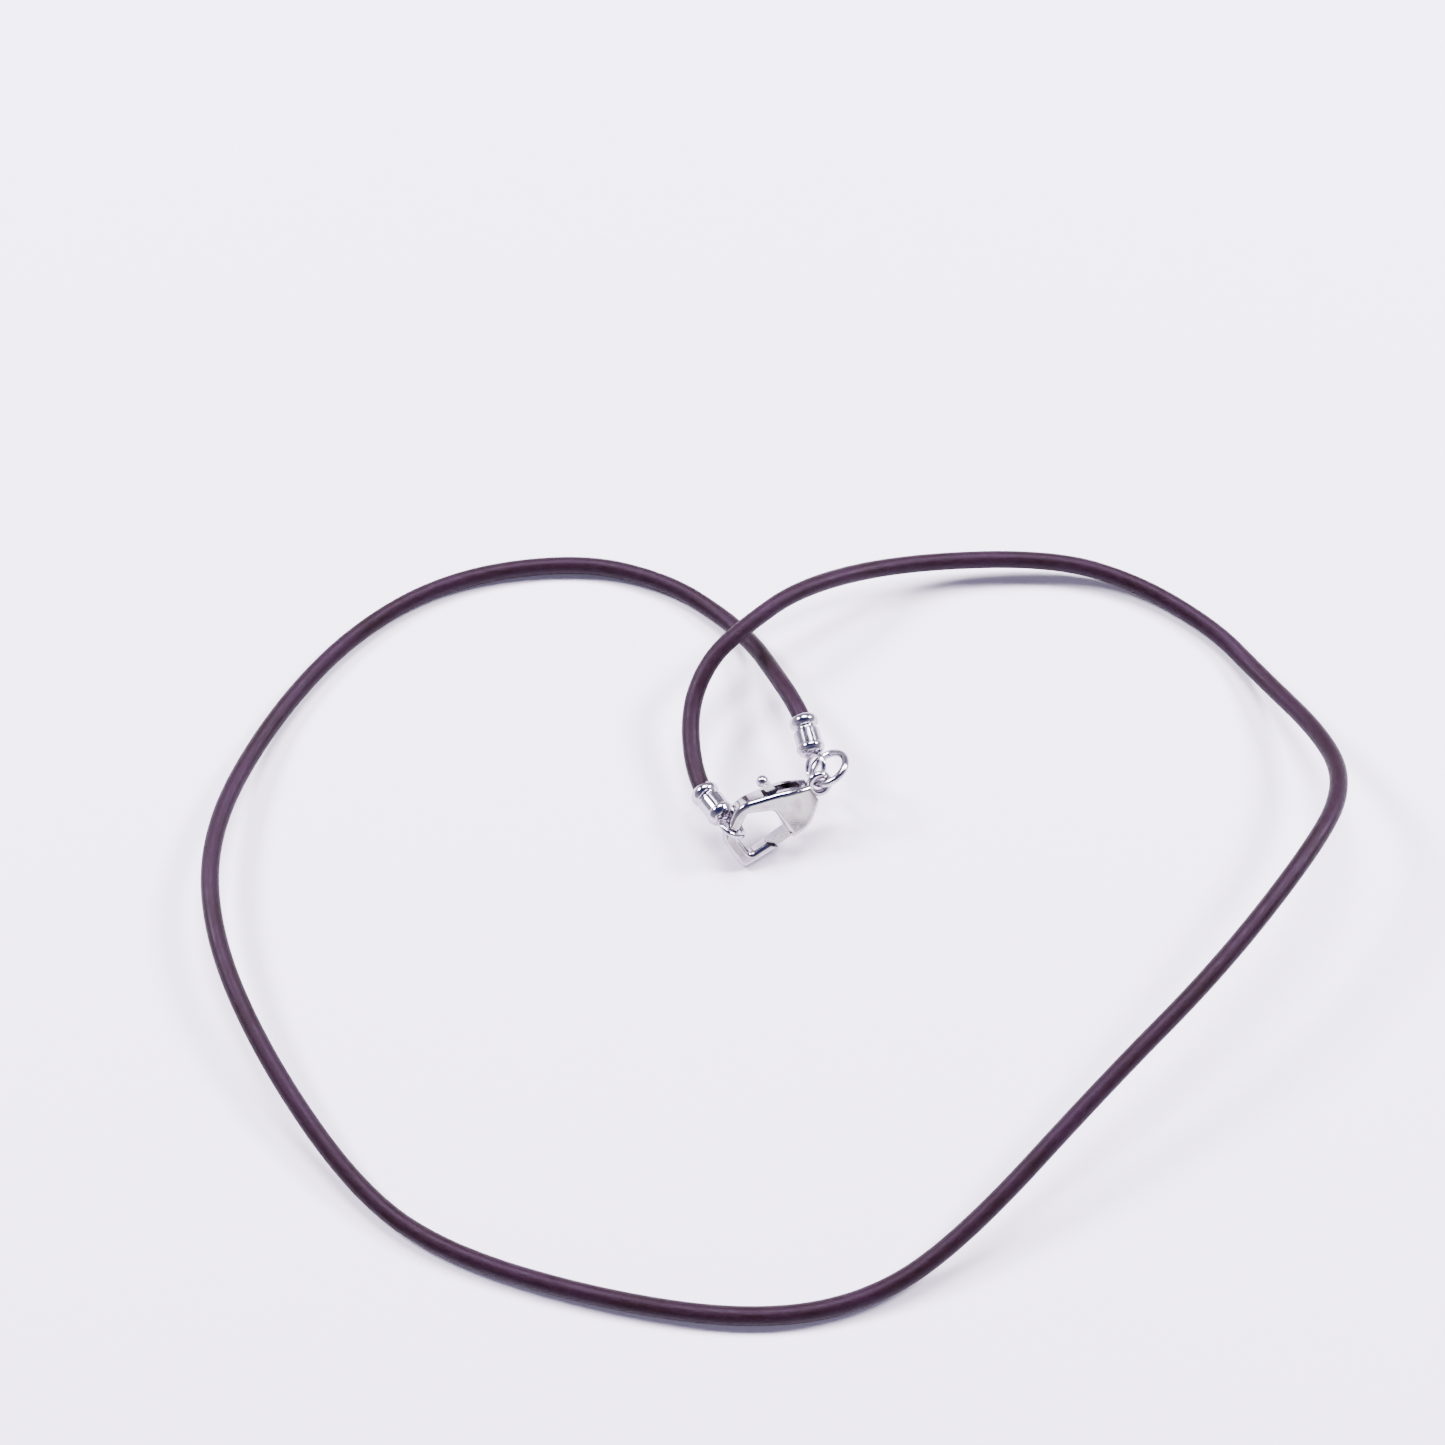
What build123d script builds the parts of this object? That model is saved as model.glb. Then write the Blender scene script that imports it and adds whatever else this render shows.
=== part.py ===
# Leather cord necklace, lying closed on a flat surface. A round leather cord is
# crimped at both ends into a metal end with a wire loop. One loop hangs on a jump
# ring with a lobster clasp, and the clasp's hook holds the other loop.
# Millimetres, +Z up, the surface at z = 0. The origin is on that surface, under
# the middle of the metal fittings. Viewed from the front, along +Y, +X is right.

from build123d import *
import math
import os

# Leather cord
CORD_DIA = 2.0

# Cord end: a turned metal tube, crimped on the cord, with a soldered wire loop
BORE_PLAY = 0.05
BORE_DEPTH = 3.7
END_WALL = 0.42
END_LENGTH = 4.6
RIM_LENGTH = 1.1
RIM_BULGE = 0.16
CRIMP_WIDTH = 0.7
CRIMP_DEPTH = 0.26
LIP_LENGTH = 0.7
LIP_BULGE = 0.12
LOOP_WIRE = 0.62
LOOP_HOLE = 2.26

# Jump ring, bent from round wire, with its cut closed up
RING_WIRE = 0.84
RING_HOLE = 3.4
RING_CUT = 0.06

# Clasp body, a casting. Its own frame: X from the eye to the hook's far end, Y from
# the back to the belly, Z out of the face that shows.
CLASP_LENGTH = 11.95
CLASP_BACK = 4.2
CLASP_BELLY = 3.0
CLASP_THICKNESS = 3.1
SHOULDER_THICKNESS = 2.2
HOOK_THICKNESS = 1.35
HOOK_WIDTH = 1.1
BEND_WIDTH = 1.6
CLASP_ROUNDING = 0.5
NECK_RADIUS = 12
BACK_RADIUS = 2.6
BELLY_RADIUS = 3.0
BEND_RADIUS = 0.9
EYE_WIRE = 0.8
EYE_HOLE = 1.4
OPENING_START = 5.7
OPENING_TOP = -1.25
SLOT_START = 1.9
SLOT_WIDTH = 1.3

# Clasp lever: a flat plate in the body's slot, on a rivet, with a round thumb tab
LEVER_PLAY = 0.1
PIVOT = (4.3, -0.6)
LEVER_BOSS_DIA = 2.3
GATE_REACH = 4.8
GATE_WIDTH = 1.15
GATE_GAP = 0.1
TAB_REACH = 3.9
TAB_LEAN = 9
TAB_NECK = 0.95
TAB_DIA = 1.36
RIVET_DIA = 0.9
RIVET_PLAY = 0.05

# Where the fittings lie. The clasp leans on its hook with its back raised, and the
# other places follow from its eye.
EYE_XY = (5.47, -0.75)
CLASP_FACES = Vector(0.282, -0.78, 0.557)
CLASP_POINTS = Vector(-0.817, -0.502, -0.29)
RING_FROM_EYE = Vector(0.499, 0.861, 0.095)
RING_FACES = Vector(-0.508, 0.235, 0.828)
RIGHT_LOOP_FROM_RING = Vector(-0.706, 0.396, -0.587)
RIGHT_END_POINTS = Vector(-0.23, 0.965, 0.126)
RIGHT_LOOP_FACES = Vector(-0.812, -0.262, 0.521)
LEFT_LOOP_ON_CLASP = (0.883, -0.464, 0.046)
LEFT_END_POINTS = Vector(-0.538, 0.832, -0.138)
LEFT_LOOP_FACES = Vector(0.518, 0.455, 0.724)

# The cord runs straight out of each end by its lead, and between them along these
# points, left end first: x, y, and how far it is lifted off the surface. It passes
# over itself once, between the second point and the third.
LEFT_LEAD = 1.7
RIGHT_LEAD = 2.1
CORD_ROUTE = [
    (-9.1, 9.8, 3.2),
    (-5.9, 15.3, 6.4),
    (4.2, 24.1, 6.4),
    (15.5, 27.7, 4.5),
    (32.5, 29.3, 3.2),
    (42.2, 27.4, 0.8),
    (51.0, 21.9, 0.0),
    (55.2, 15.0, 1.8),
    (61.0, 2.1, 8.2),
    (61.0, -4.6, 10.3),
    (57.0, -11.9, 10.8),
    (46.5, -24.9, 9.4),
    (34.5, -36.7, 7.2),
    (19.6, -51.2, 2.3),
    (10.1, -57.5, 0.0),
    (-1.8, -59.6, 0.0),
    (-17.3, -57.4, 0.0),
    (-33.3, -52.3, 0.0),
    (-42.7, -45.9, 0.5),
    (-53.0, -32.2, 2.6),
    (-59.5, -18.2, 3.4),
    (-61.1, -5.4, 2.8),
    (-55.9, 9.6, 0.3),
    (-47.3, 21.4, 0.0),
    (-36.3, 28.7, 0.0),
    (-21.7, 31.0, 0.0),
    (-10.6, 28.1, 0.0),
    (-2.3, 20.5, 0.0),
    (0.0, 15.6, 2.5),
]

cord_radius = CORD_DIA / 2
bore_radius = cord_radius + BORE_PLAY
end_radius = bore_radius + END_WALL
loop_radius = (LOOP_HOLE + LOOP_WIRE) / 2
ring_radius = (RING_HOLE + RING_WIRE) / 2
eye_radius = (EYE_HOLE + EYE_WIRE) / 2
lever_thickness = SLOT_WIDTH - 2 * LEVER_PLAY


def cord_end():
    """The metal end, its loop round the origin in the XY plane and its mouth along +X."""
    closed_x = loop_radius
    mouth_x = closed_x + END_LENGTH
    rim_x = mouth_x - RIM_LENGTH
    crimp_x = rim_x - CRIMP_WIDTH
    shoulder_x = closed_x + 0.5
    lip_x = shoulder_x + LIP_LENGTH
    bore_x = mouth_x - BORE_DEPTH
    mouth_radius = end_radius - END_WALL / 3
    outline = Curve() + [
        Line((closed_x, 0), (closed_x, 0.55 * end_radius)),
        ThreePointArc(
            (closed_x, 0.55 * end_radius),
            (closed_x + 0.18, 0.86 * end_radius),
            (shoulder_x, end_radius),
        ),
        ThreePointArc(
            (shoulder_x, end_radius),
            (shoulder_x + LIP_LENGTH / 2, end_radius + LIP_BULGE),
            (lip_x, end_radius),
        ),
        Line((lip_x, end_radius), (crimp_x, end_radius)),
        ThreePointArc(
            (crimp_x, end_radius),
            (crimp_x + CRIMP_WIDTH / 2, end_radius - CRIMP_DEPTH),
            (rim_x, end_radius),
        ),
        ThreePointArc(
            (rim_x, end_radius),
            (rim_x + RIM_LENGTH / 2, end_radius + RIM_BULGE),
            (mouth_x, mouth_radius),
        ),
        Line((mouth_x, mouth_radius), (mouth_x, bore_radius)),
        Line((mouth_x, bore_radius), (bore_x, bore_radius)),
        Line((bore_x, bore_radius), (bore_x, 0)),
        Line((bore_x, 0), (closed_x, 0)),
    ]
    barrel = revolve(make_face(outline), Axis.X)
    loop = Torus(loop_radius, LOOP_WIRE / 2)
    return barrel + loop


def clasp_outline():
    """The clasp seen on its face: narrow at the eye, wide and round at the hook."""
    corners = [
        ((eye_radius, -eye_radius), 0),
        ((0.84 * PIVOT[0], -0.61 * CLASP_BACK), NECK_RADIUS),
        ((0.71 * CLASP_LENGTH, -CLASP_BACK), BACK_RADIUS),
        ((1.025 * CLASP_LENGTH, -0.38 * CLASP_BACK), BACK_RADIUS),
        ((1.02 * CLASP_LENGTH, CLASP_BELLY), BEND_RADIUS),
        ((0.83 * PIVOT[0], CLASP_BELLY), BELLY_RADIUS),
        ((eye_radius / 2, 0.8 * eye_radius), 0),
    ]
    edge = FilletPolyline(
        *[point for point, radius in corners],
        radius=[radius for point, radius in corners],
        close=True,
    )
    return make_face(edge)


def clasp_body():
    """Two cheeks with the lever's slot between them, joined at the eye and the hook."""
    outline = clasp_outline()
    eye_end = (eye_radius, SHOULDER_THICKNESS / 2)
    crown = (PIVOT[0], CLASP_THICKNESS / 2)
    hook_end = (CLASP_LENGTH + 1, HOOK_THICKNESS / 2)
    taper = Line(hook_end, crown)
    half = Curve() + [
        taper,
        TangentArc(crown, eye_end, tangent=taper % 1),
        Line(hook_end, (hook_end[0], 0)),
        Line((hook_end[0], 0), (eye_radius, 0)),
        Line((eye_radius, 0), eye_end),
    ]
    flank = make_face(half)
    flank += mirror(flank, Plane.XZ)
    plate = extrude(outline, CLASP_THICKNESS, both=True)
    plate &= extrude(Plane.XZ * flank, 3 * CLASP_BACK, both=True)
    within = Polygon(
        (OPENING_START, OPENING_TOP),
        (0.75 * CLASP_LENGTH, -CLASP_BACK + HOOK_WIDTH),
        (CLASP_LENGTH, -CLASP_BACK),
        (CLASP_LENGTH, CLASP_BACK),
        (OPENING_START, CLASP_BACK),
        align=None,
    )
    # The opening is set back from the hook's far end, where the wall is widest.
    opening = Pos(HOOK_WIDTH - BEND_WIDTH, 0) * offset(outline, -HOOK_WIDTH) & within
    back_corner = opening.vertices().group_by(Axis.X)[0].sort_by(Axis.Y)[0]
    opening = fillet(back_corner, HOOK_WIDTH / 2)
    bend_corner = opening.vertices().group_by(Axis.Y)[-1].sort_by(Axis.X)[-1]
    opening = fillet(bend_corner, HOOK_WIDTH / 2)
    plate -= extrude(opening, CLASP_THICKNESS, both=True)
    level = [edge for edge in plate.edges() if abs((edge % 0.5).Z) < 0.7]
    level = [edge for edge in level if edge.center().X > eye_radius + 0.1]
    body = fillet(level, CLASP_ROUNDING)
    # The gap that the gate closes ends on an arc round the rivet.
    gap = Pos(*PIVOT) * Circle(GATE_REACH + GATE_GAP) & ahead_of(OPENING_START)
    gap &= Pos(CLASP_LENGTH / 2, CLASP_BELLY) * Rectangle(CLASP_LENGTH, 2 * HOOK_WIDTH + 0.4)
    body -= extrude(gap, CLASP_THICKNESS, both=True)
    slot = Pos((SLOT_START + OPENING_START) / 2, 0) * Box(
        OPENING_START - SLOT_START, 4 * CLASP_BACK, SLOT_WIDTH
    )
    body -= slot
    body -= Pos(*PIVOT) * Cylinder(RIVET_DIA / 2, 2 * CLASP_THICKNESS)
    return body + Torus(eye_radius, EYE_WIRE / 2)


def ahead_of(x):
    """The half of the clasp's face plane from x towards the hook."""
    return Pos(x + CLASP_LENGTH / 2, 0) * Rectangle(CLASP_LENGTH, 4 * CLASP_BACK)


def clasp_lever():
    """The gate, the boss round the rivet and the thumb tab, in one piece."""
    reach = Pos(*PIVOT) * Circle(GATE_REACH)
    inner_y = CLASP_BELLY - GATE_WIDTH
    boss_radius = LEVER_BOSS_DIA / 2
    arm = Polygon(
        (PIVOT[0] - 0.8 * boss_radius, PIVOT[1] + 0.6 * boss_radius),
        (OPENING_START - 0.6, CLASP_BELLY),
        (CLASP_LENGTH, CLASP_BELLY),
        (CLASP_LENGTH, inner_y),
        (OPENING_START + 0.3, inner_y),
        (PIVOT[0] + 0.75 * boss_radius, PIVOT[1] - 0.65 * boss_radius),
        align=None,
    )
    plan = arm & reach
    plan += Pos(*PIVOT) * Circle(boss_radius)
    tab_at = Pos(*PIVOT) * Rot(0, 0, TAB_LEAN)
    plan += tab_at * Pos(0, -TAB_REACH / 2) * Rectangle(TAB_NECK, TAB_REACH)
    plan -= Pos(*PIVOT) * Circle(RIVET_DIA / 2 + RIVET_PLAY)
    plate = extrude(plan, lever_thickness / 2, both=True)
    return plate + tab_at * Pos(0, -TAB_REACH) * Sphere(TAB_DIA / 2)


def clasp_rivet():
    return Pos(*PIVOT) * Cylinder(RIVET_DIA / 2, CLASP_THICKNESS)


def jump_ring():
    ring = Torus(ring_radius, RING_WIRE / 2)
    return ring - Pos(0, ring_radius) * Box(RING_CUT, 2 * RING_WIRE, 2 * RING_WIRE)


def cord_path(points):
    """Straight runs joined by arcs, each 0.45 of its shorter run over tan(half turn)."""
    radii = []
    for before, here, after in zip(points, points[1:], points[2:]):
        arriving = here - before
        leaving = after - here
        half_turn = math.radians(arriving.get_angle(leaving)) / 2
        radii.append(0.45 * min(arriving.length, leaving.length) / math.tan(half_turn))
    print("cord bend radii", [round(radius, 1) for radius in radii])
    return FilletPolyline(*points, radius=radii)


def leather_cord(path):
    start = Plane(origin=path @ 0, z_dir=path % 0)
    return sweep(start * Circle(cord_radius), path=path)


# Places of the fittings
clasp_shape = clasp_body()
clasp_frame = Plane(origin=(*EYE_XY, 0), x_dir=CLASP_POINTS, z_dir=CLASP_FACES)
eye_height = -(clasp_frame.location * clasp_shape).bounding_box().min.Z
eye = Vector(*EYE_XY, eye_height)
clasp_plane = Plane(origin=eye, x_dir=CLASP_POINTS, z_dir=CLASP_FACES)
ring_centre = eye + RING_FROM_EYE.normalized() * (ring_radius - 0.06)
right_loop = ring_centre + RIGHT_LOOP_FROM_RING.normalized() * (ring_radius - 0.19)
left_loop = clasp_plane.from_local_coords(
    Vector(
        LEFT_LOOP_ON_CLASP[0] * CLASP_LENGTH,
        LEFT_LOOP_ON_CLASP[1] * CLASP_BACK,
        LEFT_LOOP_ON_CLASP[2],
    )
)
ring_plane = Plane(origin=ring_centre, z_dir=RING_FACES)
right_plane = Plane(origin=right_loop, x_dir=RIGHT_END_POINTS, z_dir=RIGHT_LOOP_FACES)
left_plane = Plane(origin=left_loop, x_dir=LEFT_END_POINTS, z_dir=LEFT_LOOP_FACES)

# The cord, from the bottom of the left end's bore to the bottom of the right end's
mouth_x = loop_radius + END_LENGTH
bore_x = mouth_x - BORE_DEPTH
route = [
    left_plane.origin + left_plane.x_dir * bore_x,
    left_plane.origin + left_plane.x_dir * (mouth_x + LEFT_LEAD),
    *[Vector(x, y, cord_radius + lift) for x, y, lift in CORD_ROUTE],
    right_plane.origin + right_plane.x_dir * (mouth_x + RIGHT_LEAD),
    right_plane.origin + right_plane.x_dir * bore_x,
]
path = cord_path(route)

parts = {
    "leather_cord": leather_cord(path),
    "clasp_body": clasp_plane.location * clasp_shape,
    "clasp_lever": clasp_plane.location * clasp_lever(),
    "clasp_rivet": clasp_plane.location * clasp_rivet(),
    "jump_ring": ring_plane.location * jump_ring(),
    "right_cord_end": right_plane.location * cord_end(),
    "left_cord_end": left_plane.location * cord_end(),
}

cord = parts["leather_cord"]
print("cord length", round(path.length, 1), "volume", round(cord.volume, 1))
print("section times length", round(math.pi * cord_radius**2 * path.length, 1))
print("cord points", [tuple(round(value, 3) for value in point) for point in route])

os.makedirs("parts", exist_ok=True)
for name, solid in parts.items():
    solid.label = name
    export_step(solid, f"parts/{name}.step")
    box = solid.bounding_box()
    print(name, "volume", round(solid.volume, 2), "box", box.min, box.max, len(solid.solids()))
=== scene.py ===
# A leather cord necklace lies closed on a pale surface, seen from above its front.
# Metres, +Z up, in the frame of the CAD model. Each section is one piece.

import math

import bpy
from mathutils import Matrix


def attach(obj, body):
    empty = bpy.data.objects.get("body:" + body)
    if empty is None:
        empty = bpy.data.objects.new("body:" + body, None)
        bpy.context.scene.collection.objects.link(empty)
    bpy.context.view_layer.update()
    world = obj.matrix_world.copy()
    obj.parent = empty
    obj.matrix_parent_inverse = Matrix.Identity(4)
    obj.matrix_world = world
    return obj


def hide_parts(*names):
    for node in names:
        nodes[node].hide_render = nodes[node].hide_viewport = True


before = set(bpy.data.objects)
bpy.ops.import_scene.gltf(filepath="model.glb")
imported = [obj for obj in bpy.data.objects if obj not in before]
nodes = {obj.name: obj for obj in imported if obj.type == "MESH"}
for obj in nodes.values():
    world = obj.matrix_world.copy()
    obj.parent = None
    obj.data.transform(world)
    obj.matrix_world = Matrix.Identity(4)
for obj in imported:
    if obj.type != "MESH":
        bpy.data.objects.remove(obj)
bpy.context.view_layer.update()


# Camera: a short telephoto lens, well above the necklace's front and looking down on it.
link = bpy.context.scene.collection.objects.link
camera_lens = bpy.data.cameras.new("camera")
camera_lens.lens = 75.0
camera_lens.sensor_width = 36.0
camera_lens.clip_start = 0.01
camera = bpy.data.objects.new("camera", camera_lens)
camera.location = (-0.0051, -0.1542, 0.2965)
camera.rotation_euler = (math.radians(29.0), 0.0, 0.0)
link(camera)
bpy.context.scene.camera = camera


# Leather cord: one length of round cord, cut from a hide, skived round and dyed a dark
# plum all through, then waxed. It is glued and crimped into the metal end at each tip,
# and it keeps some of the bends that it had in the packet, so parts of it stand clear.
CORD_RADIUS = 0.001
CORD_ROUTE = [
    (-0.00671, -0.00132, 0.00374),
    (-0.00817, 0.00125, 0.00334),
    (-0.0089, 0.0088, 0.0047),
    (-0.0068, 0.0142, 0.0066),
    (-0.0030, 0.0179, 0.0076),
    (0.0038, 0.0236, 0.0075),
    (0.0155, 0.0294, 0.0032),
    (0.0325, 0.0305, 0.0025),
    (0.0423, 0.0280, 0.0014),
    (0.0510, 0.0219, 0.0010),
    (0.0553, 0.0159, 0.0014),
    (0.0616, 0.0048, 0.0055),
    (0.0619, -0.0033, 0.0092),
    (0.0571, -0.0118, 0.0113),
    (0.0465, -0.0249, 0.0104),
    (0.0344, -0.0366, 0.0082),
    (0.0197, -0.0514, 0.0033),
    (0.0101, -0.0575, 0.0010),
    (-0.0018, -0.0596, 0.0010),
    (-0.0173, -0.0574, 0.0010),
    (-0.0334, -0.0525, 0.0010),
    (-0.0428, -0.0460, 0.0015),
    (-0.0530, -0.0322, 0.0036),
    (-0.0597, -0.0183, 0.0044),
    (-0.0611, -0.0054, 0.0038),
    (-0.0559, 0.0096, 0.0013),
    (-0.0473, 0.0214, 0.0010),
    (-0.0363, 0.0287, 0.0010),
    (-0.0217, 0.0310, 0.0010),
    (-0.0115, 0.0282, 0.0010),
    (-0.0050, 0.0234, 0.0010),
    (-0.0015, 0.0190, 0.0021),
    (0.0003, 0.0153, 0.0035),
    (0.0034, 0.0086, 0.0058),
    (0.00402, 0.00646, 0.00559),
]


class Shader:
    """Adds nodes to a material or node group, and joins them, in one line each."""

    def __init__(self, tree):
        self.tree = tree

    def add(self, kind, settings=(), **inputs):
        node = self.tree.nodes.new(kind)
        for name, value in dict(settings).items():
            setattr(node, name, value)
        for name, value in inputs.items():
            # _0, _1 and so on give a socket by its place, where names repeat.
            spot = int(name[1:]) if name[1:].isdigit() else name.replace("_", " ")
            socket = node.inputs[spot]
            if isinstance(value, bpy.types.NodeSocket):
                self.tree.links.new(value, socket)
            else:
                socket.default_value = value
        return node


def new_material(name):
    material = bpy.data.materials.new(name)
    material.use_nodes = True
    material.node_tree.nodes.clear()
    return material, Shader(material.node_tree)


def finish_material(shader, surface):
    output = shader.add("ShaderNodeOutputMaterial")
    shader.tree.links.new(surface, output.inputs["Surface"])


def paint_ramp(node, tones):
    stops = node.color_ramp.elements
    while len(stops) < len(tones):
        stops.new(0.5)
    for stop, (place, tone) in zip(stops, tones):
        stop.position = place
        stop.color = tone


DYE_TONES = [
    (0.3, (0.0058, 0.0014, 0.0020, 1.0)),
    (0.72, (0.0108, 0.0030, 0.0092, 1.0)),
]
WORN_TONE = (0.038, 0.021, 0.034, 1.0)
# Patterns per metre: the hide's grain, slow changes of dye, and scuffs.
GRAIN_SCALE = 4200.0
BLOTCH_SCALE = 160.0
SCUFF_SCALE = 1400.0
GRAIN_DEPTH = 0.00006
# The cord's own map runs 0 to 1 along it and round it, and this makes it millimetres.
MAP_SIZE = (387.0, 6.3, 1.0)
# Fibres lie along the cord, so they change faster round it than along it.
FIBRE_STRETCH = (0.9, 3.4, 1.0)

leather, shade = new_material("cord_leather")
along = shade.add("ShaderNodeTexCoord")
stretched = shade.add(
    "ShaderNodeVectorMath",
    {"operation": "MULTIPLY"},
    _0=along.outputs["UV"],
    _1=MAP_SIZE,
)
fibres = shade.add(
    "ShaderNodeTexNoise",
    Scale=1.0,
    Detail=6.0,
    Roughness=0.62,
    Vector=shade.add(
        "ShaderNodeVectorMath",
        {"operation": "MULTIPLY"},
        _0=stretched.outputs["Vector"],
        _1=FIBRE_STRETCH,
    ).outputs["Vector"],
)
grain = shade.add(
    "ShaderNodeTexNoise",
    Scale=GRAIN_SCALE,
    Detail=4.0,
    Roughness=0.6,
    Vector=along.outputs["Object"],
)
blotch = shade.add(
    "ShaderNodeTexNoise",
    Scale=BLOTCH_SCALE,
    Detail=4.0,
    Vector=along.outputs["Object"],
)
scuffs = shade.add(
    "ShaderNodeTexNoise",
    Scale=SCUFF_SCALE,
    Detail=5.0,
    Roughness=0.7,
    Vector=along.outputs["Object"],
)
scuffed = shade.add(
    "ShaderNodeMapRange",
    {"interpolation_type": "SMOOTHSTEP"},
    Value=scuffs.outputs["Fac"],
    From_Min=0.62,
    From_Max=0.78,
)
dye = shade.add("ShaderNodeValToRGB", Fac=blotch.outputs["Fac"])
paint_ramp(dye, DYE_TONES)
relief = shade.add(
    "ShaderNodeMath",
    {"operation": "MULTIPLY_ADD"},
    _0=grain.outputs["Fac"],
    _1=0.7,
    _2=fibres.outputs["Fac"],
)
streaked = shade.add(
    "ShaderNodeMix",
    {"data_type": "RGBA", "blend_type": "MULTIPLY"},
    Factor=0.6,
    _6=dye.outputs["Color"],
    _7=shade.add(
        "ShaderNodeMapRange",
        Value=relief.outputs["Value"],
        From_Min=0.6,
        From_Max=1.1,
        To_Min=0.35,
        To_Max=1.6,
    ).outputs["Result"],
)
worn = shade.add(
    "ShaderNodeMix",
    {"data_type": "RGBA"},
    Factor=shade.add(
        "ShaderNodeMath",
        {"operation": "MULTIPLY"},
        _0=scuffed.outputs["Result"],
        _1=0.5,
    ).outputs["Value"],
    _6=streaked.outputs[2],
    _7=WORN_TONE,
)
bump = shade.add(
    "ShaderNodeBump", Strength=0.6, Distance=GRAIN_DEPTH, Height=relief.outputs["Value"]
)
cover = shade.add(
    "ShaderNodeBsdfPrincipled",
    Base_Color=worn.outputs[2],
    Roughness=shade.add(
        "ShaderNodeMapRange",
        Value=fibres.outputs["Fac"],
        From_Min=0.3,
        From_Max=0.7,
        To_Min=0.38,
        To_Max=0.6,
    ).outputs["Result"],
    Specular_Tint=(0.82, 0.60, 0.95, 1.0),
    Specular_IOR_Level=0.15,
    Normal=bump.outputs["Normal"],
)
finish_material(shade, cover.outputs["BSDF"])

cord_line = bpy.data.curves.new("leather_cord_line", "CURVE")
cord_line.dimensions = "3D"
cord_line.bevel_depth = CORD_RADIUS
cord_line.bevel_resolution = 7
cord_line.resolution_u = 24
cord_line.use_fill_caps = True
cord_run = cord_line.splines.new("NURBS")
cord_run.points.add(len(CORD_ROUTE) - 1)
for point, place in zip(cord_run.points, CORD_ROUTE):
    point.co = (*place, 1.0)
cord_run.order_u = 3
cord_run.use_endpoint_u = True
cord_run.use_smooth = True
cord = bpy.data.objects.new("cord_of_leather", cord_line)
cord_line.materials.append(leather)
link(cord)
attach(cord, "necklace")
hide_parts("leather_cord")


# Cord ends: two turned and plated brass tubes, with a rim at the mouth and a groove
# where they were crimped on the cord. A wire loop is soldered on each closed end.
# Patterns per metre: ripples from polishing, hairlines from wear, and dulled patches.
RIPPLE_SCALE = 240.0
HAIRLINE_SCALE = 6000.0
HAZE_SCALE = 700.0
RIPPLE_DEPTH = 0.0001

plating = bpy.data.node_groups.new("plating", "ShaderNodeTree")
SOCKETS = [
    ("Bright", "INPUT", "NodeSocketColor"),
    ("Dull", "INPUT", "NodeSocketColor"),
    ("Roughness", "INPUT", "NodeSocketFloat"),
    ("Ripple", "INPUT", "NodeSocketFloat"),
    ("Colour", "OUTPUT", "NodeSocketColor"),
    ("Roughness", "OUTPUT", "NodeSocketFloat"),
    ("Normal", "OUTPUT", "NodeSocketVector"),
]
for socket_name, side, kind in SOCKETS:
    plating.interface.new_socket(name=socket_name, in_out=side, socket_type=kind)
shade = Shader(plating)
given = shade.add("NodeGroupInput")
place = shade.add("ShaderNodeTexCoord")
wave = shade.add(
    "ShaderNodeTexNoise", Scale=RIPPLE_SCALE, Detail=1.0, Vector=place.outputs["Object"]
)
hair = shade.add(
    "ShaderNodeTexNoise", Scale=HAIRLINE_SCALE, Detail=2.0, Vector=place.outputs["Object"]
)
haze = shade.add(
    "ShaderNodeTexNoise", Scale=HAZE_SCALE, Detail=3.0, Vector=place.outputs["Object"]
)
dulled = shade.add(
    "ShaderNodeMapRange", Value=haze.outputs["Fac"], From_Min=0.48, From_Max=0.72
)
ripples = shade.add(
    "ShaderNodeBump",
    Strength=given.outputs["Ripple"],
    Distance=RIPPLE_DEPTH,
    Height=wave.outputs["Fac"],
)
hairlines = shade.add(
    "ShaderNodeMapRange",
    Value=hair.outputs["Fac"],
    From_Min=0.35,
    From_Max=0.65,
    To_Min=0.75,
    To_Max=1.25,
)
patched = shade.add(
    "ShaderNodeMath",
    {"operation": "MULTIPLY_ADD"},
    _0=dulled.outputs["Result"],
    _1=0.5,
    _2=hairlines.outputs["Result"],
)
shade.add(
    "NodeGroupOutput",
    Colour=shade.add(
        "ShaderNodeMix",
        {"data_type": "RGBA"},
        Factor=dulled.outputs["Result"],
        _6=given.outputs["Bright"],
        _7=given.outputs["Dull"],
    ).outputs[2],
    Roughness=shade.add(
        "ShaderNodeMath",
        {"operation": "MULTIPLY"},
        _0=patched.outputs["Value"],
        _1=given.outputs["Roughness"],
    ).outputs["Value"],
    Normal=ripples.outputs["Normal"],
)


def plated_metal(name, bright, dull, roughness, ripple):
    metal, shade = new_material(name)
    finish = shade.add(
        "ShaderNodeGroup",
        {"node_tree": plating},
        Bright=bright,
        Dull=dull,
        Roughness=roughness,
        Ripple=ripple,
    )
    surface = shade.add(
        "ShaderNodeBsdfPrincipled",
        Base_Color=finish.outputs["Colour"],
        Metallic=1.0,
        Roughness=finish.outputs["Roughness"],
        Normal=finish.outputs["Normal"],
    )
    finish_material(shade, surface.outputs["BSDF"])
    return metal


plated = plated_metal(
    "plated_brass",
    bright=(0.45, 0.42, 0.48, 1.0),
    dull=(0.34, 0.30, 0.35, 1.0),
    roughness=0.12,
    ripple=0.1,
)
for name in ("left_cord_end", "right_cord_end"):
    nodes[name].material_slots[0].material = plated


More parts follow.
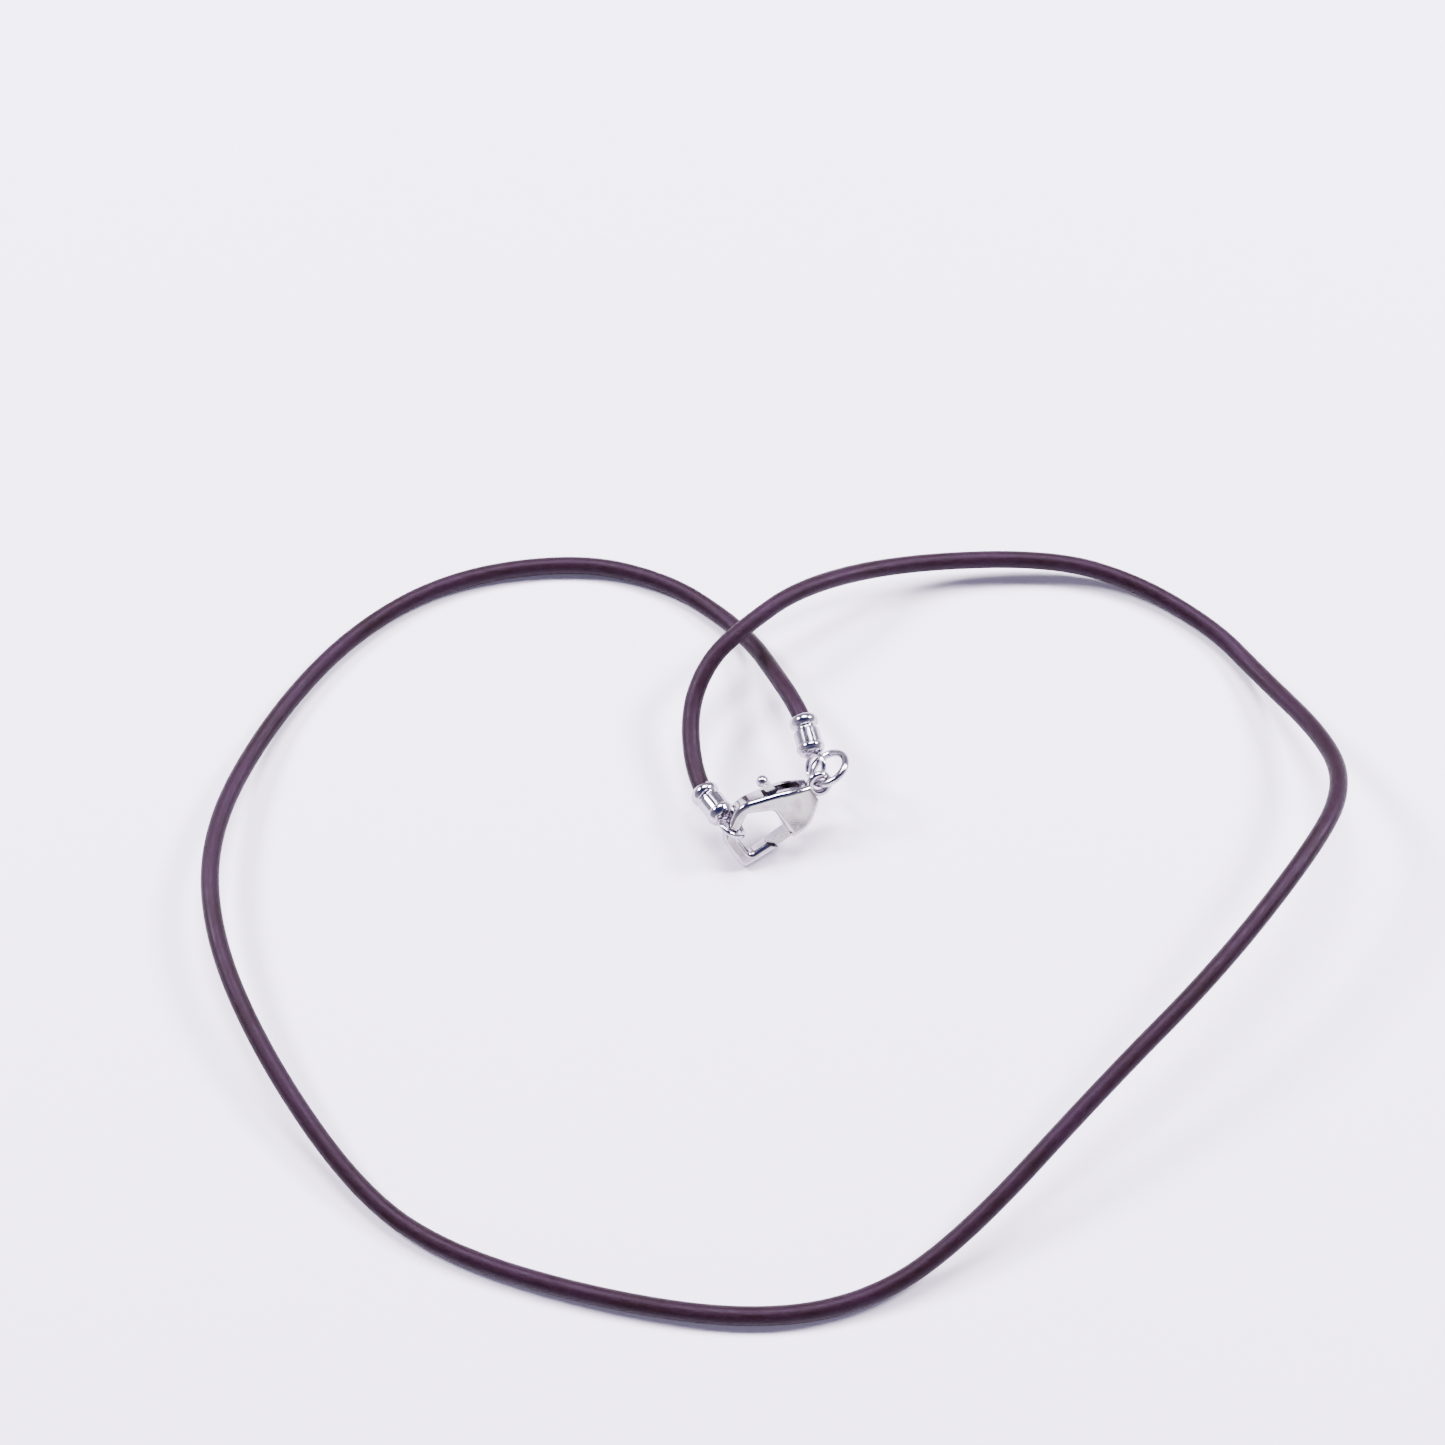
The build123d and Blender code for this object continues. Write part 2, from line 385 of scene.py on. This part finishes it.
# Clasp body: the eye, the two cheeks and the hook in one piece. It is cast in zinc
# alloy, tumbled until its edges are soft, and plated. The left loop hangs on its hook.
cast = plated_metal(
    "plated_casting",
    bright=(0.42, 0.39, 0.43, 1.0),
    dull=(0.33, 0.29, 0.33, 1.0),
    roughness=0.11,
    ripple=0.12,
)
nodes["clasp_body"].material_slots[0].material = cast


# Clasp lever: the gate and its thumb tab in one, stamped from sheet steel and plated
# less bright than the casting. It turns on the rivet between the cheeks, and a spring
# inside the clasp keeps it shut.
stamped = plated_metal(
    "plated_steel",
    bright=(0.43, 0.40, 0.45, 1.0),
    dull=(0.32, 0.29, 0.33, 1.0),
    roughness=0.16,
    ripple=0.08,
)
nodes["clasp_lever"].material_slots[0].material = stamped


# Clasp rivet: a steel pin, put through both cheeks and the lever and peened flush with
# the cheeks, then plated with them.
nodes["clasp_rivet"].material_slots[0].material = stamped


# Jump ring: brass wire, wound, cut and plated. It is bent open to take the clasp's eye
# and the right end's loop, and then closed.
nodes["jump_ring"].material_slots[0].material = plated


# Surface and light: a matt pale sheet, lit softly from the left, the right and behind.
FLOOR_SIZE = 12.0
floor_mesh = bpy.data.meshes.new("floor")
half = FLOOR_SIZE / 2
floor_mesh.from_pydata(
    [(-half, -half, 0.0), (half, -half, 0.0), (half, half, 0.0), (-half, half, 0.0)],
    [],
    [(0, 1, 2, 3)],
)
floor = bpy.data.objects.new("floor", floor_mesh)
link(floor)
paper, shade = new_material("pale_sheet")
sheet = shade.add(
    "ShaderNodeBsdfPrincipled",
    Base_Color=(0.80, 0.74, 0.87, 1.0),
    Roughness=0.7,
)
finish_material(shade, sheet.outputs["BSDF"])
floor_mesh.materials.append(paper)


def soft_light(name, place, size, power, colour):
    lamp = bpy.data.lights.new(name, "AREA")
    lamp.shape = "RECTANGLE"
    lamp.size, lamp.size_y = size
    lamp.energy = power
    lamp.color = colour
    light = bpy.data.objects.new(name, lamp)
    light.location = place
    light.rotation_euler = (-light.location).to_track_quat("-Z", "Y").to_euler()
    link(light)


soft_light("left_light", (-0.50, 0.2, 0.48), (0.16, 0.16), 13.5, (0.98, 0.95, 1.0))
soft_light("right_light", (0.50, 0.2, 0.48), (0.16, 0.16), 13.5, (0.98, 0.95, 1.0))
soft_light("back_light", (0.02, 0.37, 0.72), (0.42, 0.3), 20.0, (0.98, 0.96, 1.0))
soft_light("front_card", (0.3, -0.62, 0.1), (1.0, 0.26), 2.8, (1.0, 0.97, 0.97))


# Room: bare walls, dim all round and dark overhead, which the metal reflects.
sky = bpy.data.worlds.new("studio")
bpy.context.scene.world = sky
sky.use_nodes = True
sky.node_tree.nodes.clear()
shade = Shader(sky.node_tree)
height = shade.add(
    "ShaderNodeSeparateXYZ", Vector=shade.add("ShaderNodeTexCoord").outputs["Generated"]
)
room = shade.add("ShaderNodeValToRGB", Fac=height.outputs["Z"])
ROOM_TONES = [
    (0.0, (0.32, 0.30, 0.34, 1.0)),
    (0.25, (0.27, 0.25, 0.30, 1.0)),
    (0.6, (0.12, 0.11, 0.16, 1.0)),
    (0.84, (0.022, 0.024, 0.08, 1.0)),
    (1.0, (0.01, 0.014, 0.06, 1.0)),
]
paint_ramp(room, ROOM_TONES)
glow = shade.add("ShaderNodeBackground", Color=room.outputs["Color"], Strength=2.8)
shade.tree.links.new(
    glow.outputs["Background"], shade.add("ShaderNodeOutputWorld").inputs["Surface"]
)
